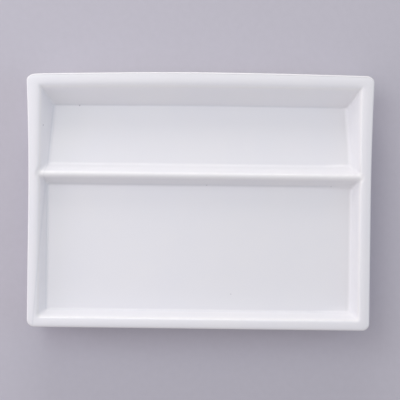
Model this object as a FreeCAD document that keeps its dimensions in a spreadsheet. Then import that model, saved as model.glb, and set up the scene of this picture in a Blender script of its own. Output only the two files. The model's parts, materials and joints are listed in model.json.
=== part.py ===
import FreeCAD, Part
import os
import re
import Sketcher
from FreeCAD import Vector

# A rectangular porcelain palette tray with two wells, cast in one piece, glazed all over except for
# the foot ring, and standing on four stick-on bumpers.
#
# Frame: millimetres, +Z up, +X to the right along the long side, +Y towards the far side with the
# slanted well. The origin is on the table, under the middle of the tray.

# ---------------------------------------------------------------------------------- sizes

SIZES = {
    # the outside of the finished, glazed tray
    "tray_length": 203,  # left to right, at the rim
    "tray_width": 152,  # near to far, at the rim
    "outer_draft": 16,  # degrees the outer walls lean in towards the foot
    "outer_corner_radius": 5,
    "rim_round": 1.8,  # outer edge of the rim
    # the two wells
    "side_rim_width": 6.4,
    "near_rim_width": 6,
    "far_rim_width": 8,
    "wall_draft": 23,  # degrees the side and near walls lean back
    "far_wall_draft": 34.5,
    "divider_draft": 27,
    "divider_crest_width": 2.4,  # between the two openings, before their edges are rounded
    "slanted_well_reach": 53,  # far opening edge to the middle of the divider
    "flat_well_depth": 9.5,
    "slanted_well_shallow_end": 9.8,  # depth beside the divider
    "slanted_well_deep_end": 16,  # depth at the far wall
    "well_corner_radius": 2,
    "opening_round": 1.2,
    # the underside
    "floor_thickness": 4.2,
    "foot_rise": 1.3,  # lowest part of the underside above the foot ring's face
    "foot_ring_width": 4,
    "recess_draft": 10,
    "recess_round": 0.8,
    "bare_foot_height": 1,  # how far up from its face the foot ring is wiped free of glaze
    "glaze_thickness": 0.3,
    # the stick-on bumpers
    "bumper_diameter": 8,
    "bumper_height": 1.8,
    "bumper_round": 1.2,
    "bumper_margin": 1.2,  # bare land left around each bumper
    "adhesive_thickness": 0.2,
    "adhesive_setback": 0.3,  # the adhesive disc stops this far inside the bumper's edge
}

document = FreeCAD.newDocument("wet_palette")
sheet = document.addObject("Spreadsheet::Sheet", "Sizes")
for row, (alias, number) in enumerate(SIZES.items(), start=1):
    sheet.set(f"A{row}", alias.replace("_", " "))
    sheet.set(f"B{row}", str(number))
    sheet.setAlias(f"B{row}", alias)
document.recompute()

# ---------------------------------------------------------------------------------- helpers


def in_sheet(expression):
    """The same expression with the sheet's name put before each alias."""
    return re.sub(r"[a-z_]+", lambda word: f"Sizes.{word[0]}" if word[0] in SIZES else word[0], expression)


def bind(thing, prop, expression):
    thing.setExpression(prop, in_sheet(expression))


def value(expression):
    return float(sheet.evalExpression(in_sheet(expression)))


def origin_plane(body, role):
    return next(feature for feature in body.Origin.OriginFeatures if feature.Role == role)


def polygon_sketch(body, role, name, corners):
    """A closed outline on one of the body's origin planes, each corner tied to its two expressions."""
    sketch = body.newObject("Sketcher::SketchObject", name)
    sketch.AttachmentSupport = [(origin_plane(body, role), "")]
    sketch.MapMode = "FlatFace"
    places = [Vector(value(across), value(up), 0) for across, up in corners]
    for start, end in zip(places, places[1:] + places[:1]):
        sketch.addGeometry(Part.LineSegment(start, end), False)
    for index, (across, up) in enumerate(corners):
        following = (index + 1) % len(corners)
        sketch.addConstraint(Sketcher.Constraint("Coincident", index, 2, following, 1))
        for kind, expression in (("DistanceX", across), ("DistanceY", up)):
            distance = Sketcher.Constraint(kind, -1, 1, index, 1, value(expression))
            bind(sketch, f"Constraints[{sketch.addConstraint(distance)}]", expression)
    return sketch


def rectangle_sketch(body, name, half_length, half_width, height="0"):
    """A rectangle about the Z axis, in a plane parallel to XY at the given height."""
    signs = (("-", "-"), ("", "-"), ("", ""), ("-", ""))
    corners = [(f"{across}{half_length}", f"{up}{half_width}") for across, up in signs]
    sketch = polygon_sketch(body, "XY_Plane", name, corners)
    bind(sketch, "AttachmentOffset.Base.z", height)
    return sketch


def pocket_across(body, name, corners, length):
    """Cut a side-view outline right through the body, evenly to both sides of the YZ plane."""
    pocket = body.newObject("PartDesign::Pocket", name)
    pocket.Profile = polygon_sketch(body, "YZ_Plane", f"{name}_profile", corners)
    pocket.SideType = "Symmetric"
    bind(pocket, "Length", length)
    document.recompute()
    return pocket


def normal_z(face):
    """How far the middle of a face looks up, from -1 to 1."""
    first_u, last_u, first_v, last_v = face.ParameterRange
    return face.normalAt((first_u + last_u) / 2, (first_v + last_v) / 2).z


def faces_where(shape, wanted):
    return [f"Face{index}" for index, face in enumerate(shape.Faces, start=1) if wanted(face)]


def edges_where(shape, wanted):
    return [f"Edge{index}" for index, edge in enumerate(shape.Edges, start=1) if wanted(edge)]


def fillet(body, name, base, edges, radius):
    rounding = body.newObject("PartDesign::Fillet", name)
    rounding.Base = (base, edges)
    bind(rounding, "Radius", radius)
    document.recompute()
    return rounding


def cut(name, base, tool):
    result = document.addObject("Part::Cut", name)
    result.Base = base
    result.Tool = tool
    return result


# ---------------------------------------------------------------------------------- shared places

# Heights are above the foot ring's face, which is the casting's own zero. A surface under the glaze
# lies one glaze thickness inside the finished one, so each form is made for a skin: "0" gives the
# finished surface and "glaze_thickness" the fired clay under it.
GLAZED = "0"
CLAY = "glaze_thickness"

SHORT = 0.01  # two places closer than this are the same place

tray_height = "(slanted_well_deep_end+floor_thickness+foot_rise)"
near_opening = "(-tray_width/2+near_rim_width)"
far_opening = "(tray_width/2-far_rim_width)"
side_opening = "(tray_length/2-side_rim_width)"
divider_crest = f"({far_opening}-slanted_well_reach)"
far_wall_foot = f"({far_opening}-slanted_well_deep_end*tan(far_wall_draft))"
flat_roof = f"({tray_height}-flat_well_depth-floor_thickness)"

# Rounding the rim's outer edge takes it in a little, because the walls under it lean in. The sharp
# edge stands out by this much first, so that the rounded tray measures its stated length and width.
rim_overrun = "(rim_round*(1/tan(45-outer_draft/2)-1))"
foot_inset = f"({tray_height}*tan(outer_draft)-{rim_overrun})"
bumper_inset = "(bumper_diameter/2+bumper_margin)"
stand_off = "(bumper_height+adhesive_thickness)"

# The recess has wide round corners, so that each corner of the foot ring becomes a land that holds a
# bumper with the same bare margin towards the recess as towards the outer edges.
land_radius = f"(({bumper_inset}+sqrt(2)*({bumper_inset}-foot_ring_width))/(sqrt(2)-1))"


def wall(opening, inward, depth, draft, skin):
    """Where a leaning well wall stands at a depth below the rim face, skin behind its finished face."""
    return f"({opening}{inward}(({depth})*tan({draft})-{skin}/cos({draft})))"


def outer_half(size, depth, skin):
    """Half the outside length or width at a depth below the rim face."""
    return f"({size}/2+{rim_overrun}-({depth})*tan(outer_draft)-{skin}/cos(outer_draft))"


def recess_half(size, skin):
    """Half the hollow's length or width inside the foot ring, at the ring's face."""
    return f"({size}/2-{foot_inset}-foot_ring_width+{skin}/cos(recess_draft))"


def bumper_middle(size):
    """How far a bumper's middle lies from the tray's, along the length or width."""
    return f"({size}/2-{foot_inset}-glaze_thickness/cos(outer_draft)-{bumper_inset})"


# ---------------------------------------------------------------------------------- the tray's forms


def tray_blank(name, skin):
    """The tray with its rim, outer walls and two wells, and a flat bottom as yet."""
    body = document.addObject("PartDesign::Body", name)
    rim_height = f"({tray_height}-{skin})"

    # The block leans in on all four sides, from the rim down to the foot.
    block = body.newObject("PartDesign::Pad", f"{name}_block")
    half_length = outer_half("tray_length", skin, skin)
    half_width = outer_half("tray_width", skin, skin)
    block.Profile = rectangle_sketch(body, f"{name}_outline", half_length, half_width, rim_height)
    block.Reversed = True
    bind(block, "Length", rim_height)
    bind(block, "TaperAngle", "-outer_draft")
    document.recompute()
    upright = edges_where(block.Shape, lambda edge: edge.BoundBox.ZLength > SHORT)
    fillet(body, f"{name}_corners", block, upright, f"outer_corner_radius-{skin}")

    # The flat well lies between the near rim and the divider.
    length = "2*" + wall(side_opening, "-", skin, "wall_draft", skin)
    near_crest = f"({divider_crest}-divider_crest_width/2)"
    flat_bottom = f"flat_well_depth+{skin}"
    near_lip = wall(near_opening, "+", skin, "wall_draft", skin)
    flat_profile = [
        (near_lip, rim_height),
        (wall(near_opening, "+", flat_bottom, "wall_draft", skin), f"{tray_height}-({flat_bottom})"),
        (wall(near_crest, "-", flat_bottom, "divider_draft", skin), f"{tray_height}-({flat_bottom})"),
        (wall(near_crest, "-", skin, "divider_draft", skin), rim_height),
    ]
    pocket_across(body, f"{name}_flat_well", flat_profile, length)

    # The slanted well lies between the divider and the far rim, and its floor falls to the far wall.
    far_crest = f"({divider_crest}+divider_crest_width/2)"
    shallow = f"slanted_well_shallow_end+{skin}"
    deep = f"slanted_well_deep_end+{skin}"
    far_lip = wall(far_opening, "-", skin, "far_wall_draft", skin)
    slanted_profile = [
        (wall(far_crest, "+", skin, "divider_draft", skin), rim_height),
        (wall(far_crest, "+", shallow, "divider_draft", skin), f"{tray_height}-({shallow})"),
        (wall(far_opening, "-", deep, "far_wall_draft", skin), f"{tray_height}-({deep})"),
        (far_lip, rim_height),
    ]
    wells = pocket_across(body, f"{name}_slanted_well", slanted_profile, length)

    # Both wells' end walls lean back about the rim face.
    reach = value(length) / 2
    rim = value(rim_height)
    ends = faces_where(wells.Shape, lambda face: abs(face.BoundBox.XLength) < SHORT
                       and abs(abs(face.CenterOfMass.x) - reach) < SHORT)
    rim_face = faces_where(wells.Shape, lambda face: abs(face.BoundBox.ZMin - rim) < SHORT)
    lean = body.newObject("PartDesign::Draft", f"{name}_end_walls")
    lean.Base = (wells, ends)
    lean.NeutralPlane = (wells, rim_face)
    lean.Reversed = True
    bind(lean, "Angle", "wall_draft")
    document.recompute()

    # Every inside corner between two well faces is rounded, then the rim's outer edge, then the
    # two openings.
    def well_corner(edge):
        faces = lean.Shape.ancestorsOfType(edge, Part.Face)
        return edge.BoundBox.ZMin < rim - SHORT and all(normal_z(face) > SHORT for face in faces)

    def on_rim(edge):
        return edge.BoundBox.ZMin > rim - SHORT

    def beside_a_well(edge):
        middle = edge.BoundBox.Center
        between_ends = abs(middle.x) < reach + SHORT
        return between_ends and value(near_lip) - SHORT < middle.y < value(far_lip) + SHORT

    inside = edges_where(lean.Shape, well_corner)
    hollowed = fillet(body, f"{name}_well_corners", lean, inside, f"well_corner_radius+{skin}")
    outside = edges_where(hollowed.Shape, lambda edge: on_rim(edge) and not beside_a_well(edge))
    rounded = fillet(body, f"{name}_rim_edge", hollowed, outside, f"rim_round-{skin}")
    openings = edges_where(rounded.Shape, lambda edge: on_rim(edge) and beside_a_well(edge))
    fillet(body, f"{name}_openings", rounded, openings, f"opening_round-{skin}")
    return body


def recess_form(name, skin):
    """The hollow under the tray, inside the foot ring: its roof follows both wells' floors."""
    body = document.addObject("PartDesign::Body", name)
    half_length = recess_half("tray_length", skin)
    half_width = recess_half("tray_width", skin)
    hollow = body.newObject("PartDesign::Pad", f"{name}_hollow")
    hollow.Profile = rectangle_sketch(body, f"{name}_outline", half_length, half_width)
    bind(hollow, "Length", f"{flat_roof}+{skin}")
    bind(hollow, "TaperAngle", "-recess_draft")
    document.recompute()
    upright = edges_where(hollow.Shape, lambda edge: edge.BoundBox.ZLength > SHORT)
    fillet(body, f"{name}_corners", hollow, upright, f"{land_radius}+{skin}")

    # Under the slanted well the roof comes down with the floor, and stays level beyond it.
    clear = f"({flat_roof}+floor_thickness)"
    beyond = "(tray_width/2)"
    backing = [
        (divider_crest, f"{flat_roof}+{skin}"),
        (far_wall_foot, f"foot_rise+{skin}"),
        (beyond, f"foot_rise+{skin}"),
        (beyond, clear),
        (divider_crest, clear),
    ]
    backed = pocket_across(body, f"{name}_backing", backing, "tray_length")
    roof_edges = edges_where(backed.Shape, lambda edge: edge.BoundBox.ZMin > SHORT
                             and edge.BoundBox.ZLength < SHORT)
    fillet(body, f"{name}_roof_edges", backed, roof_edges, f"recess_round+{skin}")
    return body


glazed_blank = tray_blank("glazed_blank", GLAZED)
clay_blank = tray_blank("clay_blank", CLAY)
glazed_recess = recess_form("glazed_recess", GLAZED)
clay_recess = recess_form("clay_recess", CLAY)

bare_band = document.addObject("Part::Box", "bare_band")
bind(bare_band, "Length", "tray_length")
bind(bare_band, "Width", "tray_width")
bind(bare_band, "Height", "bare_foot_height")
bind(bare_band, "Placement.Base.x", "-tray_length/2")
bind(bare_band, "Placement.Base.y", "-tray_width/2")

# ---------------------------------------------------------------------------------- the pieces

# The fired clay: wells, divider, walls, floor and foot ring in one casting.
porcelain_body = cut("porcelain_body", clay_blank, clay_recess)

# The glass over the wells, the rim and the outer walls, down to the bare foot.
glaze_coat = cut("glaze_coat", cut("outer_skin", glazed_blank, clay_blank), bare_band)

# The field of glass inside the foot ring, apart from the rest.
underside_glaze = cut("underside_glaze", cut("inner_skin", clay_recess, glazed_recess), bare_band)

for piece in (porcelain_body, glaze_coat, underside_glaze):
    bind(piece, "Placement.Base.z", stand_off)

nodes = [porcelain_body, glaze_coat, underside_glaze]


def stand_in_corner(piece, x_sign, y_sign):
    """Put a round piece under one of the foot ring's corner lands."""
    bind(piece, "Placement.Base.x", f"{x_sign}{bumper_middle('tray_length')}")
    bind(piece, "Placement.Base.y", f"{y_sign}{bumper_middle('tray_width')}")


def bumper(place, x_sign, y_sign):
    """A soft round foot, rounded where it meets the table."""
    body = document.addObject("PartDesign::Body", f"bumper_{place}")
    sketch = body.newObject("Sketcher::SketchObject", f"bumper_{place}_outline")
    sketch.AttachmentSupport = [(origin_plane(body, "XY_Plane"), "")]
    sketch.MapMode = "FlatFace"
    radius = value("bumper_diameter/2")
    sketch.addGeometry(Part.Circle(Vector(0, 0, 0), Vector(0, 0, 1), radius), False)
    sketch.addConstraint(Sketcher.Constraint("Coincident", 0, 3, -1, 1))
    size = sketch.addConstraint(Sketcher.Constraint("Radius", 0, radius))
    bind(sketch, f"Constraints[{size}]", "bumper_diameter/2")
    disc = body.newObject("PartDesign::Pad", f"bumper_{place}_disc")
    disc.Profile = sketch
    bind(disc, "Length", "bumper_height")
    document.recompute()
    underneath = edges_where(disc.Shape, lambda edge: edge.BoundBox.ZMax < SHORT)
    fillet(body, f"bumper_{place}_round", disc, underneath, "bumper_round")
    stand_in_corner(body, x_sign, y_sign)
    return body


def adhesive(place, x_sign, y_sign):
    """The thin disc that sticks a bumper to its land."""
    disc = document.addObject("Part::Cylinder", f"adhesive_{place}")
    bind(disc, "Radius", "bumper_diameter/2-adhesive_setback")
    bind(disc, "Height", "adhesive_thickness")
    stand_in_corner(disc, x_sign, y_sign)
    bind(disc, "Placement.Base.z", "bumper_height")
    return disc


for y_name, y_sign in (("near", "-"), ("far", "")):
    for x_name, x_sign in (("left", "-"), ("right", "")):
        place = f"{y_name}_{x_name}"
        nodes.append(bumper(place, x_sign, y_sign))
        nodes.append(adhesive(place, x_sign, y_sign))

# ---------------------------------------------------------------------------------- check and write

document.recompute()
for thing in document.Objects:
    if {"Invalid", "Error"} & set(thing.State):
        raise RuntimeError(f"{thing.Label} failed: {thing.State}")
for node in nodes:
    if node.Shape.isNull() or not node.Shape.isValid():
        raise RuntimeError(f"{node.Label} has no valid shape")

os.makedirs("parts", exist_ok=True)
for node in nodes:
    node.Shape.exportStep(f"parts/{node.Label}.step")
    box = node.Shape.BoundBox
    size = " x ".join(f"{side:.1f}" for side in (box.XLength, box.YLength, box.ZLength))
    print(f"{node.Label}: {len(node.Shape.Solids)} solid, {size} mm, {node.Shape.Volume:.0f} mm3")
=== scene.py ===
# %% [markdown]
# # A porcelain tray palette, from plain CAD to a glazed pot
#
# The object is a white tray palette for watercolour: one casting of hard porcelain with a large flat
# well, a narrow slanted well behind it, and a rounded divider between them. A glass glaze covers it
# down to a bare foot ring, and four soft bumpers keep the hard foot off the table.
#
# The CAD model gives the overall sizes. This lesson loads it, keeps the small parts whose shape is
# already right, and makes the three ceramic skins again as numpy surfaces, because a fired pot has soft
# edges and a slight warp that a CAD solid doesn't show.

# %% Load the CAD model as a fixed frame
import bpy
import json
import numpy as np
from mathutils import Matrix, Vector


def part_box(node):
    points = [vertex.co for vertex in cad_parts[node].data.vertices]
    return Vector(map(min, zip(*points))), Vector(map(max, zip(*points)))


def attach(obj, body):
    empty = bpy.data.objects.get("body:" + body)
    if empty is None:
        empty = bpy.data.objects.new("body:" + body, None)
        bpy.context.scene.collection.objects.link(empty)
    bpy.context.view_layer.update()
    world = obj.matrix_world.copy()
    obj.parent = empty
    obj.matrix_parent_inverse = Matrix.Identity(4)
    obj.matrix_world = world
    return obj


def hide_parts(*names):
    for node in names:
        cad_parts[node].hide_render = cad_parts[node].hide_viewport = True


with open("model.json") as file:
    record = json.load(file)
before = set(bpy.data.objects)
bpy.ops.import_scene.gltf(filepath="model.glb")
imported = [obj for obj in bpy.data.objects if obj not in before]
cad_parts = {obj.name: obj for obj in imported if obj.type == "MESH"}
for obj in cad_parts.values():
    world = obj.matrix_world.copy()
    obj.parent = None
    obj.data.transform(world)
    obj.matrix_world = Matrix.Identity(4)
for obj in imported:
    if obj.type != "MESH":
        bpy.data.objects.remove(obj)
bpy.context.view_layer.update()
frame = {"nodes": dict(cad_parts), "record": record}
MM = 0.001


def box_in_mm(name):
    """A CAD node's lowest and highest corners in millimetres, to the nearest micron."""
    return [np.round(np.array(corner) / MM, 3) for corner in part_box(name)]


for name in sorted(frame["nodes"]):
    print(name, *box_in_mm(name), "mm")

# %% [markdown]
# ## The camera
#
# The tray is seen from straight above, as it would be laid under a copy stand. A wide lens close by would
# swell the rim against the floors, which lie further off, so a long lens is set about a metre up. The
# stand is turned by less than a degree, which is enough to look hand-placed.

# %% Camera on its stand
CAMERA_HEIGHT = 1.0235
CAMERA_OFFSET = 0.0003
LENS_MM = 152.1
STAND_TURN = 0.0123

camera_data = bpy.data.cameras.new("copy_stand_camera")
camera_data.lens = LENS_MM
camera_data.clip_end = 10.0
camera = bpy.data.objects.new("copy_stand_camera", camera_data)
camera.location = (CAMERA_OFFSET, CAMERA_OFFSET, CAMERA_HEIGHT)
camera.rotation_euler = (0.0, 0.0, STAND_TURN)
bpy.context.collection.objects.link(camera)
bpy.context.scene.camera = camera
print("camera", CAMERA_HEIGHT, "m up with a", LENS_MM, "mm lens")

# %% [markdown]
# ## Small helpers for soft creases
#
# A mould is carved with crisp planes, but slip, sponge and molten glaze round every crease. A Bevel
# modifier could round them, but it needs an edge to start from, and here creases run into each other.
# Two heights can be joined softly without finding their crease first: where they are nearly equal, a
# small parabola takes over. The lower of two heights makes an outside edge, such as the rim, and the
# higher of two makes an inside corner, such as the foot of a wall.

# %% Soft joins of two heights
def dip(a, b, width):
    """How far a soft edge lies under a crisp one: width/4 at the crease, falling as a parabola to 0
    where a and b differ by width."""
    nearness = np.clip(1 - np.abs(a - b) / width, 0, 1)
    return width * nearness ** 2 / 4


def soft_low(a, b, width):
    """The lower of two heights, less the dip: an outside edge."""
    return np.minimum(a, b) - dip(a, b, width)


def soft_high(a, b, width):
    """The higher of two heights, plus the dip: an inside corner."""
    return np.maximum(a, b) + dip(a, b, width)


def smooth_step(value, start, end):
    """0 before start, 1 after end, and between them 3 t squared less 2 t cubed, level at both ends."""
    t = np.clip((value - start) / (end - start), 0, 1)
    return t * t * (3 - 2 * t)


print("a soft corner 2 mm wide rises", dip(0.0, 0.0, 2.0), "mm at its middle")

# %% [markdown]
# ## The sizes that drive the tray
#
# The outline, the rim's height, the flat floor and the glaze's thickness come from the CAD model. The
# rims' widths set where each well opens, and the drafts are the angles at which the walls lean back so
# that the mould comes away. Heights and places are in millimetres, with y growing towards the far side.

# %% Driving sizes
coat_low, coat_high = box_in_mm("glaze_coat")
clay_low, clay_high = box_in_mm("porcelain_body")
mounts = {mount["name"]: mount for mount in frame["record"]["mounts"]}

OUTER_HALF = coat_high[:2]
RIM_HEIGHT = coat_high[2]
GLAZE = round(coat_high[2] - clay_high[2], 3)
GLAZE_LINE = coat_low[2]
FOOT = clay_low[2]
FLAT_FLOOR = round(mounts["flat_well_floor"]["pos_m"][2] / MM, 3)

SIDE_RIM, NEAR_RIM, FAR_RIM = 6.4, 6.0, 8.0
SIDE_OPENING = OUTER_HALF[0] - SIDE_RIM
NEAR_OPENING = NEAR_RIM - OUTER_HALF[1]
FAR_OPENING = OUTER_HALF[1] - FAR_RIM
CREST_NEAR, CREST_FAR = 13.7, 15.6
CREST_MIDDLE = (CREST_NEAR + CREST_FAR) / 2

# the slanted floor: its depth at two places, beside the divider and at the foot of the far wall
SHALLOW_DEPTH, DEEP_DEPTH = 9.8, 16.0
SLANT_START, SLANT_END = 21.2, 57.0

WALL_DRAFT, FAR_DRAFT = 23.0, 34.5
DIVIDER_NEAR_DRAFT, DIVIDER_FAR_DRAFT = 24.9, 27.0
print("wells open at", SIDE_OPENING, "to the sides,", NEAR_OPENING, "near and", FAR_OPENING, "far, in mm")
print("glaze", GLAZE, "mm thick, down to", GLAZE_LINE, "mm; foot at", FOOT, "mm")

# %% [markdown]
# ## The rim's crown
#
# The rim isn't flat but gently crowned, as a clay edge is after a wet sponge has been drawn along it. An
# arc carried round the rim's middle line gives that in one formula, for all four sides.

# %% Height of the rim
CROWN_SIDE = OUTER_HALF[0] - SIDE_RIM / 2
CROWN_NEAR = NEAR_RIM / 2 - OUTER_HALF[1]
CROWN_FAR = OUTER_HALF[1] - FAR_RIM / 2
CROWN_RADIUS, CROWN_REACH, CROWN_JOIN = 12.5, 3.4, 4.0


def rim_crown(x, y):
    """The rim's height: a flat arc across the rim, highest on its middle line. The drop is the square
    of the distance from that line over twice the arc's radius, and stops growing inside the wells."""
    across = np.maximum(CROWN_NEAR - y, y - CROWN_FAR)
    outward = soft_high(np.abs(x) - CROWN_SIDE, across, CROWN_JOIN)
    outward = np.clip(outward, -CROWN_REACH, None)
    return RIM_HEIGHT - outward ** 2 / (2 * CROWN_RADIUS)


print("the side rim falls", round(float(RIM_HEIGHT - rim_crown(SIDE_OPENING, 0.0)), 2), "mm to the well")

# %% [markdown]
# ## The wells, as one height over the plan
#
# Everything that faces up is a height above the table for each place in plan. Separate walls and floors
# could be joined with booleans, but a height function needs no joints. Each wall is a slanted plane that
# starts at the edge of its opening, and a well is the higher of its walls and its floor. The tray is the
# lower of the two wells and the rim, so the divider makes itself where the two wells meet: its ridge
# comes out rounded and a little lower than the rim, and its ends melt into the side rims in a small
# arrow. The far wall's foot is the crispest, and the right walls' feet are the softest.

# %% Height of the glazed surface
# a softness is the difference of height, in mm, over which two surfaces blend
CORNER_SOFTNESS = 4.7
FLAT_FOOT_SOFTNESS, SLANTED_FOOT_SOFTNESS, FAR_FOOT_SOFTNESS = 2.6, 3.2, 0.9
RIGHT_FOOT_EXTRA = 2.6
RIGHT_FROM, RIGHT_TO = 70.0, 88.0
RIDGE_SOFTNESS, LIP_SOFTNESS = 8.6, 2.6
RUN_OUT, RUN_OUT_REACH = 1.0, 4.0
# the next two set the mark for inside corners, which is both glaze pooled there and painted shade at the
# walls' feet: its width, and how much weaker it is on the right
POOL_AND_SHADE_WIDTH = 2.4
RIGHT_POOL_AND_SHADE_LOSS = 0.8


def drop_from(edge_distance, draft):
    """Height of a wall plane: the rim's height, less the distance inside the opening over the draft's
    tangent."""
    return RIM_HEIGHT - edge_distance / np.tan(np.radians(draft))


def tray_top(x, y):
    """Height of the glaze over the wells, divider and rim: soft higher ones of walls and floor, then the
    soft lower one of both wells and the rim. The side openings widen at the divider's ends by a bell
    curve. Also gives two marks, each from 0 to 1 as the dip of that crease over its greatest dip. One is
    in inside corners, for glaze that pools there and for painted shade at the walls' feet, and it is
    weaker on the right. The other is on outside edges, for glaze that thins out there and for a painted
    highlight."""
    run_out = RUN_OUT * np.exp(-((y - CREST_MIDDLE) / RUN_OUT_REACH) ** 2)
    side = drop_from(SIDE_OPENING + run_out - np.abs(x), WALL_DRAFT)
    near = drop_from(y - NEAR_OPENING, WALL_DRAFT)
    far = drop_from(FAR_OPENING - y, FAR_DRAFT)
    divider_near = drop_from(CREST_NEAR - y, DIVIDER_NEAR_DRAFT)
    divider_far = drop_from(y - CREST_FAR, DIVIDER_FAR_DRAFT)

    slope = (SHALLOW_DEPTH - DEEP_DEPTH) / (SLANT_END - SLANT_START)
    slanted_floor = RIM_HEIGHT - SHALLOW_DEPTH + slope * (y - SLANT_START)
    flat_floor = FLAT_FLOOR + 0 * x

    to_right = smooth_step(x, RIGHT_FROM, RIGHT_TO)
    right_extra = RIGHT_FOOT_EXTRA * to_right
    flat_walls = soft_high(soft_high(side, near, CORNER_SOFTNESS), divider_near, CORNER_SOFTNESS)
    flat_well = soft_high(flat_walls, flat_floor, FLAT_FOOT_SOFTNESS + right_extra)
    slanted_walls = soft_high(side, divider_far, CORNER_SOFTNESS)
    slanted_foot = soft_high(slanted_walls, slanted_floor, SLANTED_FOOT_SOFTNESS + right_extra)
    slanted_well = soft_high(slanted_foot, far, FAR_FOOT_SOFTNESS)

    ridge = soft_low(flat_well, slanted_well, RIDGE_SOFTNESS)
    rim = rim_crown(x, y)
    height = soft_low(ridge, rim, LIP_SOFTNESS)

    # inside corners at the walls' feet: glaze pooled there and painted shade, weaker towards the right
    pool = dip(flat_walls, flat_floor, POOL_AND_SHADE_WIDTH) + dip(np.maximum(side, far), slanted_floor, POOL_AND_SHADE_WIDTH)
    pooled = 4 * pool / POOL_AND_SHADE_WIDTH * (1 - RIGHT_POOL_AND_SHADE_LOSS * to_right)
    # outside edges at the lip: glaze run thin there and a painted highlight
    thin = 4 * dip(ridge, rim, LIP_SOFTNESS) / LIP_SOFTNESS
    return height, np.clip(pooled, 0, 1), np.clip(thin, 0, 1)


def height_at(x, y):
    """The glaze's height at one place."""
    return float(tray_top(np.float64(x), np.float64(y))[0])


for label, place_y in (("flat well", 0), ("ridge", CREST_MIDDLE), ("slanted floor's deep end", SLANT_END)):
    print(label, round(height_at(0, place_y), 2), "mm above the table")

# %% [markdown]
# ## A square grid with rounded corners
#
# A plain grid can't follow a rounded corner, and a fan of triangles shades badly. Here the lines of the
# grid stay straight in the middle, and in each corner zone the squares become arcs: a step number from
# the corner's centre says the arc's radius, and the other one says how far round it is. The outermost
# line is then a true rounded rectangle, and because every ring below it is made by the same rule, the
# rings always have the same number of points and join without gaps.

# %% Rounded grid and its outline
def spaced(start, *stretches):
    """Line positions over stretches of (what lies there, where it ends, how many steps), each evenly
    divided and starting where the last one ended."""
    rows = []
    for _, end, count in stretches:
        rows.append(np.linspace(start, end, count + 1)[:-1])
        start = end
    return np.concatenate([*rows, [start]])


def rounded_grid(middle_x, middle_y, steps):
    """x and y of a grid whose corner squares are bent into arcs. middle_x and middle_y run between the
    corner centres, and steps are the arcs' radii, from 0 outwards. In a corner, the radius is that of
    the larger step number, and the angle is 45 degrees times the smaller over the larger, counted from
    the nearer side."""
    reach = len(steps) - 1
    counts = []
    centres = []
    for middle in (middle_x, middle_y):
        outside = np.arange(1, reach + 1)
        counts.append(np.concatenate([-outside[::-1], np.zeros(len(middle), int), outside]))
        centres.append(np.concatenate([np.full(reach, middle[0]), middle, np.full(reach, middle[-1])]))
    i, j = np.meshgrid(*counts, indexing="ij")
    cx, cy = np.meshgrid(*centres, indexing="ij")
    larger = np.maximum(np.abs(i), np.abs(j))
    smaller = np.minimum(np.abs(i), np.abs(j))
    turn = np.radians(45.0) * smaller / np.maximum(larger, 1)
    turn = np.where(np.abs(i) >= np.abs(j), turn, np.radians(90.0) - turn)
    radius = np.asarray(steps)[larger]
    return cx + np.sign(i) * radius * np.cos(turn), cy + np.sign(j) * radius * np.sin(turn)


def outline(grid):
    """The outermost line of a grid, counter-clockwise seen from above, from its lowest corner."""
    return np.concatenate([grid[:-1, 0], grid[-1, :-1], grid[:0:-1, -1], grid[0, :0:-1]])


# %% [markdown]
# ## Where the grid needs its lines
#
# An even grid fine enough for the ridge would waste most of its faces on the floors. The lines are close
# at the feet of the walls, over the ridge and across the rims, and wide apart on the floors. The grid
# stops just inside the rim's outer edge, where the wall's section takes over.

# %% Lines of the upper skin
RIM_ROUND = 1.2
EDGE_START = np.radians(81.0)
CORNER_RADIUS = 4.3
CORNER_STEPS = 8
BEND_INSET = RIM_ROUND * (1 - np.cos(EDGE_START))
GRID_HALF = OUTER_HALF - BEND_INSET
GRID_CORNER = CORNER_RADIUS - BEND_INSET

grid_x, grid_y = GRID_HALF - GRID_CORNER
half_lines = spaced(
    0, ("floor", 86.5, 34), ("foot of the side wall", 92.4, 17), ("wall", 94.2, 3), ("rim", grid_x, 9),
)
lines_x = np.concatenate([-half_lines[:0:-1], half_lines])
lines_y = spaced(
    -grid_y, ("near rim", -69.0, 8), ("near wall", -67.5, 3), ("foot of the near wall", -64.6, 8),
    ("flat floor", 7.3, 28), ("near foot of the divider", 10.4, 9), ("its near side", 12.2, 3),
    ("ridge", 17.8, 22), ("its far side", 19.6, 3), ("far foot of the divider", 22.8, 9),
    ("slanted floor", 55.6, 14), ("foot of the far wall", 58.0, 9), ("far wall", 65.8, 9),
    ("far rim", grid_y, 14),
)
top_x, top_y = rounded_grid(lines_x, lines_y, np.linspace(0, GRID_CORNER, CORNER_STEPS + 1))
print("the upper skin has", top_x.shape[0], "by", top_x.shape[1], "lines")

# %% [markdown]
# ## Kiln warp
#
# Porcelain softens in the kiln, and a large flat tray never comes out quite square. This one's far edge
# bows outwards in the middle, so its corners lie back by one or two millimetres, and its far corners
# flare a little to the sides. The foot stands on the kiln shelf and stays put. A lattice could bend each
# piece, but one function that moves all three ceramic skins by place can't let them come apart.

# %% The warp, as a small move for every point
SHELF_HOLD, FREE_HEIGHT = 2.6, 9.0
BOW_PEAK = 4.0
BOW_LEFT, BOW_RIGHT = 1.95, 1.15
BOW_POWER_LEFT, BOW_POWER_RIGHT, BOW_POWER_ACROSS = 1.6, 1.7, 2.6
BOW_FROM = 16.0
FLARE_LEFT, FLARE_RIGHT = 1.75, 1.35
FLARE_WIDTH = 8.0
FLARE_FROM, FLARE_TO = -5.0, 70.0
LEFT_CORNER_MOVE = (-0.15, -0.35)
LEFT_CORNER_SPREAD = 22.0  # in square mm


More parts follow.
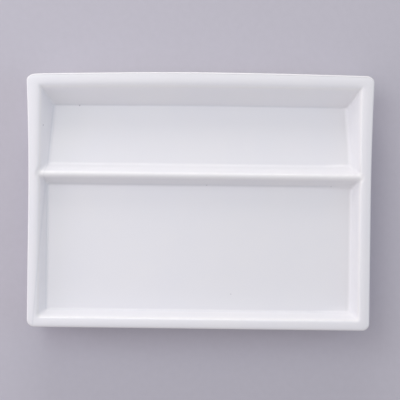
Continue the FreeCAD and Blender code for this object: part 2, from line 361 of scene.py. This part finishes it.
def kiln_warp(points):
    """Moves points (mm) in plan. The bow grows as a power of the distance from its peak along the tray
    and from the divider across it. The flare is a smooth step over the outermost 8 mm, and grows as the
    square of the distance from about the middle of the side. The far left corner moves a little more
    than the others, by a bell curve. All of it fades to nothing at the foot."""
    x, y, z = points.T
    half_x, half_y = OUTER_HALF
    lifted = smooth_step(z, SHELF_HOLD, FREE_HEIGHT)
    left = np.clip((BOW_PEAK - x) / (half_x + BOW_PEAK), 0, 1) ** BOW_POWER_LEFT
    right = np.clip((x - BOW_PEAK) / (half_x - BOW_PEAK), 0, 1) ** BOW_POWER_RIGHT
    across = np.clip((y - BOW_FROM) / (half_y - BOW_FROM), 0, 1) ** BOW_POWER_ACROSS
    bow = -(BOW_LEFT * left + BOW_RIGHT * right) * across
    out_left = smooth_step(-x, half_x - FLARE_WIDTH, half_x) * FLARE_LEFT
    out_right = smooth_step(x, half_x - FLARE_WIDTH, half_x) * FLARE_RIGHT
    flare = (out_right - out_left) * np.clip((y - FLARE_FROM) / (FLARE_TO - FLARE_FROM), 0, 1) ** 2
    corner = np.exp(-((x + half_x) ** 2 + (y - half_y) ** 2) / LEFT_CORNER_SPREAD)
    move_x = flare + corner * LEFT_CORNER_MOVE[0]
    move_y = bow + corner * LEFT_CORNER_MOVE[1]
    return np.stack([x + move_x * lifted, y + move_y * lifted, z], axis=1)


test_corner = np.array([[-OUTER_HALF[0], OUTER_HALF[1], RIM_HEIGHT]])
print("the far left corner moves by", np.round(kiln_warp(test_corner) - test_corner, 2)[0], "mm")

# %% [markdown]
# ## From arrays to a mesh
#
# Two kinds of part make every skin: a grid, and a stack of rings that share one number of points. This
# cell turns them into faces and puts them into Blender. Extra numbers for each point, such as the mark for
# pooled glaze and painted shade in inside corners, go in as attributes that a material can read. They
# could be painted by hand as vertex colours, but the formula that makes a crease already knows where it
# is.

# %% Faces and pieces
def grid_faces(grid_index, upwards=True):
    """Four-sided faces of a grid of point numbers, counter-clockwise seen from above, or the other way
    round."""
    a, b = grid_index[:-1, :-1], grid_index[1:, :-1]
    c, d = grid_index[1:, 1:], grid_index[:-1, 1:]
    order = (a, b, c, d) if upwards else (a, d, c, b)
    return np.stack(order, axis=-1).reshape(-1, 4)


def ring_faces(loops):
    """Faces between closed rings of point numbers, each ring lower or further out than the one before."""
    here, there = loops[:-1], loops[1:]
    corners = (here, there, np.roll(there, -1, axis=1), np.roll(here, -1, axis=1))
    return np.stack(corners, axis=-1).reshape(-1, 4)


def make_piece(name, points, faces, **attributes):
    """A mesh object in metres from points in mm and four-sided faces, shaded smooth, with one number
    per point for each attribute."""
    mesh = bpy.data.meshes.new(name)
    mesh.from_pydata((points * MM).tolist(), [], faces.tolist())
    for label, values in attributes.items():
        layer = mesh.attributes.new(label, "FLOAT", "POINT")
        layer.data.foreach_set("value", np.asarray(values, dtype=np.float32))
    mesh.shade_smooth()
    piece = bpy.data.objects.new(name, mesh)
    bpy.context.collection.objects.link(piece)
    print(name, len(points), "points,", len(faces), "faces")
    return piece


def skin_offset(grid, thickness):
    """A grid of points (n, m, 3) moved along its own normals. The normal is the cross product of the
    grid's two directions."""
    normal = np.cross(np.gradient(grid, axis=0), np.gradient(grid, axis=1))
    normal /= np.linalg.norm(normal, axis=2, keepdims=True)
    return grid + normal * thickness


print("3 by 3 points make", len(grid_faces(np.arange(9).reshape(3, 3))), "faces")

# %% [markdown]
# ## The outer wall, ring by ring
#
# Seen in section, the wall is one line: round the rim's outer edge on a small radius, then straight down
# and inwards at 16 degrees to the foot. A curve with a bevel could carry that line round the tray, but
# rings made by the grid's own rule meet the grid point for point. The glaze ends a millimetre above the
# foot ring's face, because a glazed foot would weld itself to the kiln shelf.

# %% Section of the wall
OUTER_DRAFT = np.radians(16.0)
EDGE_ROWS, WALL_ROWS = 11, 12


def wall_section(skin):
    """Inset from the tray's outermost line, height, and corner radius, from the rim's edge down to the
    glaze line. skin is how far it lies under the glaze's surface: an arc of the rim's radius less skin,
    then a straight line."""
    angle = np.linspace(EDGE_START, -OUTER_DRAFT, EDGE_ROWS)
    bend = RIM_ROUND - skin
    crown_drop = (GRID_HALF[0] - CROWN_SIDE) ** 2 / (2 * CROWN_RADIUS)
    centre_z = RIM_HEIGHT - crown_drop - RIM_ROUND * np.sin(EDGE_START)
    arc_inset = RIM_ROUND - bend * np.cos(angle)
    arc_z = centre_z + bend * np.sin(angle)
    wall_z = np.linspace(arc_z[-1], GLAZE_LINE, WALL_ROWS + 1)[1:]
    wall_inset = arc_inset[-1] + (arc_z[-1] - wall_z) * np.tan(OUTER_DRAFT)
    arc_corner = CORNER_RADIUS - arc_inset
    wall_corner = np.full(WALL_ROWS, arc_corner[-1])
    return (
        np.concatenate([arc_inset, wall_inset]),
        np.concatenate([arc_z, wall_z]),
        np.concatenate([arc_corner, wall_corner]),
    )


def ring(half, corner, height):
    """One closed ring of points: a rounded rectangle of half sizes half and corner radius corner, at
    one height."""
    reach_x, reach_y = np.asarray(half) - corner
    grid = rounded_grid(
        lines_x * reach_x / lines_x[-1],
        lines_y * reach_y / lines_y[-1],
        np.linspace(0, corner, CORNER_STEPS + 1),
    )
    x, y = outline(grid[0]), outline(grid[1])
    return np.stack([x, y, np.full_like(x, height)], axis=1)


def stack_rings(insets, heights, corners):
    """Rings for a whole section, as one array of (rows, points, 3)."""
    return np.stack([ring(OUTER_HALF - i, c, z) for i, z, c in zip(insets, heights, corners)])


insets, heights, corners = wall_section(0.0)
print("the wall's section has", len(insets), "rows, and ends", round(insets[-1], 2), "mm in")

# %% [markdown]
# ## The glaze coat: its points
#
# Above the foot the glaze is one open skin: the grid over the wells and the rim, and the wall's rings
# under it. The last rings swell and tuck under, which draws the rolled bead that melted glaze leaves
# where it stops. The bead's line wanders a little, since the glaze is wiped off the foot by hand. A noise
# displacement could do that too, but three slow waves are smooth and give the same line every time.

# %% Upper skin, wall and bead
# each row of the bead: how far it lies inside the wall's own line, and how far above the glaze line
BEAD = ((0.05, 0.9), (-0.06, 0.5), (-0.05, 0.25), (0.06, 0.08), (0.2, 0.02))
# each wave's length over two pi, in mm
WANDER_ALONG, WANDER_ACROSS, WANDER_DIAGONAL = 9.0, 7.3, 3.1
DIAGONAL_SHARE = 0.6
WANDER_SIZE, WANDER_FADE = 0.09, 5.0


def glaze_wander(points):
    """Lifts the lowest points by 0 to 0.5 mm, as a sum of three slow waves along the plan, and those
    above them less and less, up to 5 mm above the table."""
    x, y, z = points.T
    diagonal = DIAGONAL_SHARE * np.sin((x - y) / WANDER_DIAGONAL)
    wave = np.sin(x / WANDER_ALONG + 1.0) + np.sin(y / WANDER_ACROSS) + diagonal
    lowest_wave = -(2 + DIAGONAL_SHARE)
    lifted = points.copy()
    lifted[:, 2] += WANDER_SIZE * (wave - lowest_wave) * smooth_step(-z, -WANDER_FADE, -GLAZE_LINE)
    return lifted


top_z, pooled, thin = tray_top(top_x, top_y)
top_skin = np.stack([top_x, top_y, top_z], axis=2)
bead_insets = [insets[-1] + tuck - rise * np.tan(OUTER_DRAFT) for tuck, rise in BEAD]
bead_heights = [GLAZE_LINE + rise for _, rise in BEAD]
wall_rows = stack_rings(
    np.concatenate([insets[1:-1], bead_insets]),
    np.concatenate([heights[1:-1], bead_heights]),
    np.concatenate([corners[1:-1], [corners[-1]] * len(BEAD)]),
)
glaze_points = np.concatenate([top_skin.reshape(-1, 3), wall_rows.reshape(-1, 3)])
glaze_points = kiln_warp(glaze_wander(glaze_points))
last_ring = glaze_points[-wall_rows.shape[1]:, 2]
print("the glaze stops between", *np.round([last_ring.min(), last_ring.max()], 2), "mm above the table")

# %% [markdown]
# ## The glaze coat: a real layer
#
# Glaze is a layer of glass about 0.3 mm thick, so it is made as one. A Solidify modifier grows it inwards
# from the skin, which keeps the outside where the formula put it. It could be a thin coat in the body's
# material instead, but then there would be no edge to see at the foot. Glaze runs thin over the rim's
# outer edge, where its lighter colour is also a painted highlight, and pools in the bead, where its darker
# colour is also painted shade, and both are written in the points' attributes.

# %% Glaze over the wells, rim and walls
# how strong the lighter mark of thin glaze and painted highlight is on the rim's outer edge, and how
# strong the darker mark of pooled glaze and painted shade is in the bead, over how many rows
EDGE_THIN_AND_HIGHLIGHT = 0.6
BEAD_POOL_AND_SHADE, BEAD_POOL_AND_SHADE_ROWS = 0.8, 4

row_count, points_around = wall_rows.shape[:2]
grid_index = np.arange(top_x.size).reshape(top_x.shape)
loop_index = top_x.size + np.arange(row_count * points_around).reshape(row_count, points_around)
loops = np.vstack([outline(grid_index), loop_index])
# the rim's outer edge, lighter: thin glaze and a painted highlight
thin_rows = np.zeros(row_count)
thin_rows[:EDGE_ROWS - 2] = EDGE_THIN_AND_HIGHLIGHT  # the arc's rows, less its two ends
# the bead, darker: glaze pooled there and painted shade
pool_and_shade_rows = np.zeros(row_count)
pool_and_shade_rows[-BEAD_POOL_AND_SHADE_ROWS:] = BEAD_POOL_AND_SHADE
glaze_coat = make_piece(
    "glazed_skin", glaze_points, np.concatenate([grid_faces(grid_index), ring_faces(loops)]),
    pooled=np.concatenate([pooled.ravel(), np.repeat(pool_and_shade_rows, points_around)]),
    thin=np.concatenate([thin.ravel(), np.repeat(thin_rows, points_around)]),
)
thickness = glaze_coat.modifiers.new("glass_layer", "SOLIDIFY")
thickness.thickness = GLAZE * MM
thickness.offset = -1.0
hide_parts("glaze_coat")
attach(glaze_coat, "root")

# %% [markdown]
# ## Under the tray
#
# The underside is hollowed to keep the walls even, so that the clay dries and shrinks evenly. The
# hollow's roof follows the wells above it: level under the flat well, falling under the slanted one. It
# could be the upper skin moved down, but a real mould has a plainer hollow than that, so it gets a height
# function of its own.

# %% Height of the hollow's roof
under_low, under_high = box_in_mm("underside_glaze")
HOLLOW_DRAFT = np.radians(10.0)
wiped_back = (GLAZE_LINE - FOOT) * np.tan(HOLLOW_DRAFT)
# the CAD node's box ends at the clay beside the glaze line; this is the glaze's own face, at the foot
HOLLOW_HALF = np.round(-under_low[:2] - GLAZE / np.cos(HOLLOW_DRAFT) + wiped_back, 2)
HOLLOW_CORNER = 16.65
FOOT_RISE = 1.3
ROOF = round(under_high[2] - GLAZE, 2)
LOW_ROOF = FOOT + FOOT_RISE
ROOF_BEND, LOW_ROOF_BEND = 15.0, 57.0
LOW_BEND_SOFTNESS, BEND_SOFTNESS, ROOF_SOFTNESS = 0.4, 0.8, 1.6


def inside_distance(x, y, half, corner):
    """Distance inwards from a rounded rectangle: past the corner centres it is the corner's radius less
    the distance from its centre, and elsewhere the nearer side's distance."""
    over_x, over_y = np.abs(x) - (half[0] - corner), np.abs(y) - (half[1] - corner)
    beyond = np.hypot(np.maximum(over_x, 0), np.maximum(over_y, 0))
    return corner - beyond - np.minimum(np.maximum(over_x, over_y), 0)


def hollow(x, y):
    """Height of the hollow's glaze: the lower of the drafted wall and the roof, softly joined. The roof
    is level, then falls in a straight line, then is level again."""
    inside = inside_distance(x, y, HOLLOW_HALF, HOLLOW_CORNER)
    wall = FOOT + inside / np.tan(HOLLOW_DRAFT)
    fall = ROOF + (y - ROOF_BEND) * (LOW_ROOF - ROOF) / (LOW_ROOF_BEND - ROOF_BEND)
    roof = soft_low(soft_high(fall, LOW_ROOF + 0 * x, LOW_BEND_SOFTNESS), ROOF + 0 * x, BEND_SOFTNESS)
    return soft_low(wall, roof, ROOF_SOFTNESS)


print("the hollow is", *(2 * HOLLOW_HALF), "mm at the foot, and its roof is", ROOF, "mm up")

# %% [markdown]
# ## The glaze in the hollow
#
# The hollow is glazed too, but the ring that it leaves, which stood on the shelf, is bare. So its glaze
# is a second skin, which starts a millimetre above the foot. Its grid is scaled from the upper skin's
# lines, with the last few close together where the drafted wall is. It faces down.

# %% Glaze under the tray
WALL_LINES = (9.0, 4.6, 2.7, 1.9, 1.4, 0.9, 0.4, 0.0)
# the darker mark of pooled glaze and painted shade along the hollow's wall: its strength, and the
# distances in mm from the outline where it is full and where it is gone
HOLLOW_POOL_AND_SHADE = 0.8
POOL_AND_SHADE_FULL, POOL_AND_SHADE_NONE = 0.3, 1.3


def hollow_grid(half, corner):
    """Grid of the hollow inside an outline, with the last lines at set distances from it."""
    steps = corner - np.array([corner, *WALL_LINES])
    reach_x, reach_y = half - corner
    x, y = rounded_grid(lines_x * reach_x / lines_x[-1], lines_y * reach_y / lines_y[-1], steps)
    return np.stack([x, y, hollow(x, y)], axis=2)


under_skin = hollow_grid(HOLLOW_HALF - wiped_back, HOLLOW_CORNER - wiped_back)
under_inside = inside_distance(under_skin[..., 0], under_skin[..., 1], HOLLOW_HALF, HOLLOW_CORNER)
under_index = np.arange(under_inside.size).reshape(under_inside.shape)
# the hollow's glaze, with the darker mark of pooled glaze and painted shade by its wall
underside = make_piece(
    "glazed_hollow", kiln_warp(under_skin.reshape(-1, 3)), grid_faces(under_index, upwards=False),
    pooled=smooth_step(-under_inside.ravel(), -POOL_AND_SHADE_NONE, -POOL_AND_SHADE_FULL) * HOLLOW_POOL_AND_SHADE,
    thin=np.zeros(under_index.size),
)
under_layer = underside.modifiers.new("glass_layer", "SOLIDIFY")
under_layer.thickness = GLAZE * MM
under_layer.offset = -1.0
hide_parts("underside_glaze")
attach(underside, "root")

# %% [markdown]
# ## The porcelain itself
#
# The body is one closed solid inside the glaze: the upper skin moved 0.3 mm along its normals, the wall
# 0.3 mm further in, the bare foot with its sponged edges, and the hollow moved 0.3 mm up into the clay.
# Only the foot ring is ever seen, but a solid that is right all through is a better model than a hollow
# shell with a strip of foot on it.

# %% The casting
# the foot's two soft edges, row by row: height above its face, inset of the outer edge from the tray's
# outermost line, and distance of the inner edge from the hollow's outline, all in mm
SPONGE_RISE = (0.5, 0.24, 0.08, 0.0)
SPONGED_EDGE = (5.74, 5.82, 5.93, 6.12)
SPONGED_LIP = (0.34, 0.42, 0.53, 0.72)

body_top = skin_offset(top_skin, -GLAZE)
body_insets, body_heights, body_corners = wall_section(GLAZE)
sponge_heights = [FOOT + rise for rise in SPONGE_RISE]
body_wall = stack_rings(
    np.concatenate([body_insets[1:], SPONGED_EDGE]),
    np.concatenate([body_heights[1:], sponge_heights]),
    np.concatenate([body_corners[1:], [body_corners[-1]] * len(SPONGED_EDGE)]),
)
lip_rows = list(zip(SPONGED_LIP, sponge_heights))
body_lip = np.stack([ring(HOLLOW_HALF + out, HOLLOW_CORNER + out, z) for out, z in lip_rows[::-1]])
body_wall = np.concatenate([body_wall, body_lip])
body_hollow = skin_offset(under_skin, GLAZE)

top_index = np.arange(body_top[..., 0].size).reshape(body_top.shape[:2])
wall_index = top_index.size + np.arange(body_wall[..., 0].size).reshape(body_wall.shape[:2])
hollow_index = top_index.size + wall_index.size + under_index
body_loops = np.vstack([outline(top_index), wall_index, outline(hollow_index)])
body_points = np.concatenate([part.reshape(-1, 3) for part in (body_top, body_wall, body_hollow)])
body_faces = np.concatenate([
    grid_faces(top_index), ring_faces(body_loops), grid_faces(hollow_index, upwards=False),
])
casting = make_piece("porcelain_casting", kiln_warp(body_points), body_faces)
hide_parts("porcelain_body")
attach(casting, "root")

# %% [markdown]
# ## Colours and nodes
#
# Colours are written as the sRGB hex values that a paint chart gives, and one function turns them to the
# linear values that the renderer mixes. One more small function adds a node to a material, so that each
# material reads as a list of what it is made of.

# %% Helpers for materials
def linear(hex_colour):
    """Linear RGBA from an sRGB hex value: each channel, from 0 to 1, through the sRGB curve."""
    channels = np.array([int(hex_colour[i:i + 2], 16) for i in (1, 3, 5)]) / 255
    low, high = channels / 12.92, ((channels + 0.055) / 1.055) ** 2.4
    return (*np.where(channels <= 0.04045, low, high).tolist(), 1.0)


def add_node(tree, kind, inputs=None, **settings):
    """Adds a node, sets its settings, and fills its inputs: a socket of another node makes a link."""
    node = tree.nodes.new(kind)
    for label, value in settings.items():
        setattr(node, label, value)
    for socket, value in (inputs or {}).items():
        if isinstance(value, bpy.types.NodeSocket):
            tree.links.new(value, node.inputs[socket])
        else:
            node.inputs[socket].default_value = value
    return node


def new_material(name):
    """An empty node material, its tree, and its output node."""
    material = bpy.data.materials.new(name)
    material.use_nodes = True
    material.node_tree.nodes.clear()
    output = add_node(material.node_tree, "ShaderNodeOutputMaterial")
    return material, material.node_tree, output


def in_millimetres(tree):
    """Object coordinates turned to millimetres, so that a pattern's scale is one over its real size."""
    place = add_node(tree, "ShaderNodeTexCoord")
    per_metre = 1 / MM
    scaled = add_node(
        tree, "ShaderNodeMapping",
        {"Vector": place.outputs["Object"], "Scale": (per_metre, per_metre, per_metre)},
    )
    return scaled.outputs["Vector"]


print("half-bright #808080 is", round(linear("#808080")[0], 3), "in linear light")

# %% [markdown]
# ## Glazed porcelain: its colour
#
# A clear feldspar glaze over a white hard-paste body, fired to about 1300 degrees. To the eye it is a cool
# white, with slow clouds a few centimetres across. In the corners it is a little bluer and darker, partly
# glaze that has pooled there and partly painted shade, and over an edge it is a little warmer and lighter,
# partly glaze that has run thin and partly a painted highlight. One flat white would look like plastic.

# %% Material: glazed hard porcelain, from the clouds to the creases
CLOUD_MM = 26
# how strongly the corners' mark of pooled glaze and painted shade, and the edges' mark of thin glaze and
# painted highlight, tint the colour
POOL_AND_SHADE_DEPTH, THIN_AND_HIGHLIGHT_DEPTH = 0.55, 0.5

glazed, tree, output = new_material("glazed_hard_porcelain")
mm = in_millimetres(tree)
cloud = add_node(
    tree, "ShaderNodeTexNoise", {"Vector": mm, "Scale": 1 / CLOUD_MM, "Detail": 2.0, "Roughness": 0.5},
)
tone = add_node(
    tree, "ShaderNodeMix", {0: cloud.outputs["Fac"], 6: linear("#efeff3"), 7: linear("#f3f2f3")},
    data_type="RGBA",
)
# the darker mix is pooled glaze and painted shade in the corners; the lighter, warmer one is thin glaze
# and a painted highlight over the edges
pool_and_shade_mark = add_node(tree, "ShaderNodeAttribute", attribute_name="pooled")
thin_mark = add_node(tree, "ShaderNodeAttribute", attribute_name="thin")
pool_and_shade_amount = add_node(
    tree, "ShaderNodeMath", {0: pool_and_shade_mark.outputs["Fac"], 1: POOL_AND_SHADE_DEPTH}, operation="MULTIPLY",
)
thin_amount = add_node(
    tree, "ShaderNodeMath", {0: thin_mark.outputs["Fac"], 1: THIN_AND_HIGHLIGHT_DEPTH}, operation="MULTIPLY",
)
pooled_and_shaded = add_node(
    tree, "ShaderNodeMix", {0: pool_and_shade_amount.outputs[0], 6: tone.outputs[2], 7: linear("#dedfe4")},
    data_type="RGBA",
)
colour = add_node(
    tree, "ShaderNodeMix", {0: thin_amount.outputs[0], 6: pooled_and_shaded.outputs[2], 7: linear("#f4f2ef")},
    data_type="RGBA",
).outputs[2]
print(glazed.name, "has", len(tree.nodes), "nodes so far")

# %% [markdown]
# ## Glazed porcelain: specks
#
# Iron specks and pinholes are the usual marks of a hand-finished piece. Each is a soft grey-violet spot
# round one place in the glaze, drawn by the distance from it. A noise with a high threshold would scatter
# them, but only a few are wanted, and each has a place and a size of its own.

# %% Specks in the glaze
# x, y and radius of each, in mm
SPECKS = (
    (-72.7, 56.2, 0.55), (-93.4, 43.7, 0.65), (4.2, 9.2, 0.45), (78.4, 9.2, 0.42), (19.4, -55.7, 0.38),
)
SPECK_CORE, SPECK_DEPTH = 0.4, 0.55

for speck_x, speck_y, radius in SPECKS:
    place = (speck_x, speck_y, height_at(speck_x, speck_y))
    reach = add_node(tree, "ShaderNodeVectorMath", {0: mm, 1: place}, operation="DISTANCE")
    fade = {"From Min": radius * SPECK_CORE, "From Max": radius, "To Min": SPECK_DEPTH, "To Max": 0.0}
    mark = add_node(tree, "ShaderNodeMapRange", {"Value": reach.outputs["Value"], **fade})
    colour = add_node(
        tree, "ShaderNodeMix", {0: mark.outputs["Result"], 6: colour, 7: linear("#8d8894")},
        data_type="RGBA",
    ).outputs[2]
print(len(SPECKS), "specks, the largest", 2 * max(radius for _, _, radius in SPECKS), "mm across")

# %% [markdown]
# ## Glazed porcelain: its surface
#
# Glaze is glass, so its index is near 1.5. It is almost smooth, with the faint orange peel of a sprayed
# coat, over slow swells left by sponging the clay. Both are far shallower than they are wide, so they are
# bumps, not geometry. The peel also breaks up the gloss a little, as in real glaze.

# %% Material: glazed hard porcelain, its gloss
PEEL_MM, PEEL_DEEP_MM = 3.2, 0.012
SWELL_MM, SWELL_DEEP_MM = 17, 0.12
GLOSS_LOW, GLOSS_HIGH = 0.17, 0.24

peel = add_node(tree, "ShaderNodeTexNoise", {"Vector": mm, "Scale": 1 / PEEL_MM, "Detail": 1.0})
swell = add_node(tree, "ShaderNodeTexNoise", {"Vector": mm, "Scale": 1 / SWELL_MM, "Detail": 1.0})
swell_bump = add_node(
    tree, "ShaderNodeBump",
    {"Height": swell.outputs["Fac"], "Strength": 1.0, "Distance": SWELL_DEEP_MM * MM},
)
peel_bump = add_node(
    tree, "ShaderNodeBump",
    {"Height": peel.outputs["Fac"], "Strength": 1.0, "Distance": PEEL_DEEP_MM * MM,
     "Normal": swell_bump.outputs[0]},
)
gloss = add_node(
    tree, "ShaderNodeMapRange",
    {"Value": peel.outputs["Fac"], "From Min": 0.3, "From Max": 0.7, "To Min": GLOSS_LOW,
     "To Max": GLOSS_HIGH},
)
glass = add_node(
    tree, "ShaderNodeBsdfPrincipled",
    {"Base Color": colour, "Roughness": gloss.outputs["Result"], "Normal": peel_bump.outputs[0],
     "IOR": 1.5},
)
tree.links.new(glass.outputs["BSDF"], output.inputs["Surface"])
glaze_coat.data.materials.append(glazed)
underside.data.materials.append(glazed)
print(glazed.name, "has", len(tree.nodes), "nodes, with a gloss of", GLOSS_LOW, "to", GLOSS_HIGH)

# %% [markdown]
# ## Bare porcelain
#
# Where there is no glaze, the fired body shows: dense, matt and slightly warm, with the fine grain of
# the clay and a few grey grits picked up from the kiln wash. The grain is a fine noise, and the grits are
# its highest peaks, so that a grit always stands on a bump. Its grain is drawn coarser than real, at half
# a millimetre, so that it shows.

# %% Material: unglazed porcelain
GRAIN_MM, GRAIN_DEEP_MM = 0.5, 0.06
WASH_MM = 6

bisque, tree, output = new_material("unglazed_hard_porcelain")
mm = in_millimetres(tree)
grain = add_node(
    tree, "ShaderNodeTexNoise", {"Vector": mm, "Scale": 1 / GRAIN_MM, "Detail": 3.0, "Roughness": 0.6},
)
wash = add_node(tree, "ShaderNodeTexNoise", {"Vector": mm, "Scale": 1 / WASH_MM, "Detail": 2.0})
body_colour = add_node(
    tree, "ShaderNodeMix", {0: wash.outputs["Fac"], 6: linear("#e1ddd7"), 7: linear("#ebe8e3")},
    data_type="RGBA",
)
grit = add_node(
    tree, "ShaderNodeMapRange",
    {"Value": grain.outputs["Fac"], "From Min": 0.66, "From Max": 0.74, "To Min": 0.0, "To Max": 0.5},
)
gritty = add_node(
    tree, "ShaderNodeMix", {0: grit.outputs["Result"], 6: body_colour.outputs[2], 7: linear("#a39c92")},
    data_type="RGBA",
)
grain_bump = add_node(
    tree, "ShaderNodeBump",
    {"Height": grain.outputs["Fac"], "Strength": 0.6, "Distance": GRAIN_DEEP_MM * MM},
)
clay = add_node(
    tree, "ShaderNodeBsdfPrincipled",
    {"Base Color": gritty.outputs[2], "Roughness": 0.78, "Normal": grain_bump.outputs[0], "IOR": 1.5},
)
tree.links.new(clay.outputs["BSDF"], output.inputs["Surface"])
casting.data.materials.append(bisque)
print(bisque.name, "has", len(tree.nodes), "nodes, with a grain of", GRAIN_MM, "mm")

# %% [markdown]
# ## Bumpers and their adhesive
#
# The four feet are clear polyurethane bumpers, cast as small domes on a sheet of acrylic adhesive and
# cut out. The CAD shapes are right, so they stay, and only get their finishes: a satin, slightly milky
# rubber with dust on it, and a duller film between it and the clay. One function makes both, since both
# are a milky polymer that dust has settled on.

# %% Materials: cast polyurethane and acrylic adhesive
DUST_DEEP_MM = 0.03


def soft_plastic(name, shade, dust, roughness, grain_mm):
    """A milky polymer: its shade broken up by specks of dust, a rough grain of the given size, and a
    little gloss."""
    material, tree, output = new_material(name)
    mm = in_millimetres(tree)
    specks = add_node(tree, "ShaderNodeTexNoise", {"Vector": mm, "Scale": 1 / grain_mm, "Detail": 3.0})
    dusted = add_node(
        tree, "ShaderNodeMapRange",
        {"Value": specks.outputs["Fac"], "From Min": 0.5, "From Max": 0.75, "To Min": 0.0, "To Max": 0.7},
    )
    mixed = add_node(
        tree, "ShaderNodeMix", {0: dusted.outputs["Result"], 6: linear(shade), 7: linear(dust)},
        data_type="RGBA",
    )
    bump = add_node(
        tree, "ShaderNodeBump", {"Height": specks.outputs["Fac"], "Distance": DUST_DEEP_MM * MM},
    )
    shader = add_node(
        tree, "ShaderNodeBsdfPrincipled",
        {"Base Color": mixed.outputs[2], "Roughness": roughness, "Normal": bump.outputs[0], "IOR": 1.49},
    )
    tree.links.new(shader.outputs["BSDF"], output.inputs["Surface"])
    return material


rubber = soft_plastic("cast_polyurethane", "#c9ccd0", "#b3b1ad", 0.38, 0.9)
film = soft_plastic("acrylic_adhesive_film", "#dad8d2", "#c4beb2", 0.55, 1.4)
for name, node in frame["nodes"].items():
    if name.startswith(("bumper", "adhesive")):
        for place in node.material_slots:
            place.material = rubber if name.startswith("bumper") else film
        print(name, "is", node.material_slots[0].material.name)

# %% [markdown]
# ## The floor
#
# The tray stands on plain pale card, as under a copy stand. A curved backdrop isn't needed, because the
# camera looks straight down, so it is one large square with the faint mottle of paper fibre.

# %% Pale card
FLOOR_HALF = 4.0
FIBRE_MM = 4

floor_mesh = bpy.data.meshes.new("pale_card")
floor_mesh.from_pydata(
    [(-FLOOR_HALF, -FLOOR_HALF, 0), (FLOOR_HALF, -FLOOR_HALF, 0), (FLOOR_HALF, FLOOR_HALF, 0),
     (-FLOOR_HALF, FLOOR_HALF, 0)], [], [(0, 1, 2, 3)],
)
floor = bpy.data.objects.new("pale_card", floor_mesh)
bpy.context.collection.objects.link(floor)
card, tree, output = new_material("pale_card")
fibre = add_node(
    tree, "ShaderNodeTexNoise", {"Vector": in_millimetres(tree), "Scale": 1 / FIBRE_MM, "Detail": 4.0},
)
card_colour = add_node(
    tree, "ShaderNodeMix", {0: fibre.outputs["Fac"], 6: linear("#c3c0c8"), 7: linear("#c8c5cd")},
    data_type="RGBA",
)
matt = add_node(
    tree, "ShaderNodeBsdfPrincipled",
    {"Base Color": card_colour.outputs[2], "Roughness": 0.9, "Specular IOR Level": 0.2},
)
tree.links.new(matt.outputs["BSDF"], output.inputs["Surface"])
floor_mesh.materials.append(card)
print("the card is", 2 * FLOOR_HALF, "m square")

# %% [markdown]
# ## Light
#
# White on white is drawn by light alone. A bright, even room gives most of it, and six weak soft boxes
# give each wall its own shade. The far and left boxes are low, so they catch the rims' outer edges. With
# one above the far left corner and a small one close by on the left, they brighten the walls that face
# far and left. A large bluish one lifts the left walls from the right, and one high up fills the floors.
# One strong box would be simpler, but it would leave one side too dark and throw a hard shadow.

# %% Studio
ROOM_LIGHT = 0.476
world = bpy.data.worlds.new("bright_room")
world.use_nodes = True
room = world.node_tree.nodes["Background"]
room.inputs["Color"].default_value = linear("#fffafc")
room.inputs["Strength"].default_value = ROOM_LIGHT
bpy.context.scene.world = world


def soft_box(name, place, size, watts, colour):
    """A square soft light that faces the middle of the tray, with its place and size in metres."""
    data = bpy.data.lights.new(name, "AREA")
    data.shape = "SQUARE"
    data.size = size
    data.energy = watts
    data.color = linear(colour)[:3]
    light = bpy.data.objects.new(name, data)
    light.location = place
    light.rotation_euler = (-Vector(place)).to_track_quat("-Z", "Y").to_euler()
    light.visible_camera = False
    bpy.context.collection.objects.link(light)
    print(name, "at", place, "gives", watts, "W")


soft_box("far_box", (-0.10, 0.95, 0.28), 0.5, 3.4, "#fffcfa")
soft_box("left_box", (-0.95, 0.10, 0.28), 0.5, 1.1, "#fffdff")
soft_box("corner_box", (-0.45, 0.45, 0.75), 0.5, 1.35, "#f4ffff")
soft_box("close_box", (-0.50, 0.0, 0.20), 0.3, 0.35, "#e8e4ff")
soft_box("right_box", (1.10, 0.0, 0.90), 1.2, 3.1, "#cae2ff")
soft_box("top_box", (-0.35, 0.10, 1.50), 0.8, 1.9, "#fffaff")
bpy.context.scene.view_settings.view_transform = "Standard"
